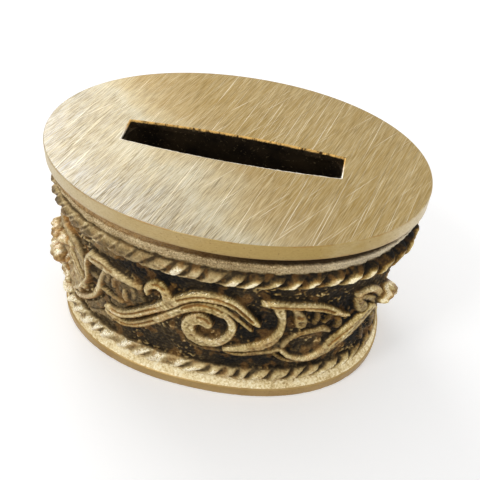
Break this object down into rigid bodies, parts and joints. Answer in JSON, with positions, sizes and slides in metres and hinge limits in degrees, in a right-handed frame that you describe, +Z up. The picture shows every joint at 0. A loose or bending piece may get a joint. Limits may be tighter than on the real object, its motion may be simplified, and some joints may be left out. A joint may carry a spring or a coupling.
{
  "type": "donation box",
  "caption": "Oval brass donation box with a slotted plate lid, rope borders, scroll relief and a hinged, lockable emptying door in its floor.",
  "frame": {"origin": "below the middle of the box, on the plane that the foot rim rests on", "axes": "+X along the slot to the right, +Y to the back, +Z up"},
  "size_m": [0.1007, 0.0668, 0.061],
  "materials": {
    "lid_brass": "flat, brushed with diagonal scratches, thin clear glare",
    "rim_brass": "smooth satin",
    "cast_brass": "matte cast grain, near-black patina in the hollows, worn bright on the crests",
    "dark_brass": "dark patina, satin",
    "lock_brass": "turned, satin",
    "steel": "plain bright steel"
  },
  "bodies": {
    "box": {"lid_plate": "lid_brass", "slot_throat": "dark_brass", "lid_screws": "steel", "body_shell": "cast_brass", "upper_rope": "cast_brass", "lower_rope": "cast_brass", "foot_rim": "rim_brass", "front_scroll": "cast_brass", "front_left_leaf": "cast_brass", "front_right_leaf": "cast_brass", "front_left_end": "cast_brass", "front_right_end": "cast_brass", "back_scroll": "cast_brass", "back_left_leaf": "cast_brass", "back_right_leaf": "cast_brass", "back_left_end": "cast_brass", "back_right_end": "cast_brass", "floor_plate": "dark_brass", "floor_screws": "steel", "hinge_fixed_leaf": "dark_brass", "fixed_rivets": "steel", "hinge_pin": "steel"},
    "door": {"door_plate": "dark_brass", "hinge_door_leaf": "dark_brass", "door_rivets": "steel", "lock_barrel": "lock_brass", "lock_nut": "steel"},
    "lock": {"lock_plug": "lock_brass", "lock_cam": "steel", "cam_screw": "steel"}
  },
  "joints": [
    {"name": "door_hinge", "type": "hinge", "parent": "box", "child": "door", "pos_m": [-0.025, 0, 0.00185], "axis": [0, 1, 0], "range_deg": [0, 110]},
    {"name": "lock_turn", "type": "hinge", "parent": "door", "child": "lock", "pos_m": [0.013, 0, 0.003], "axis": [0, 0, -1], "range_deg": [0, 90]}
  ]
}
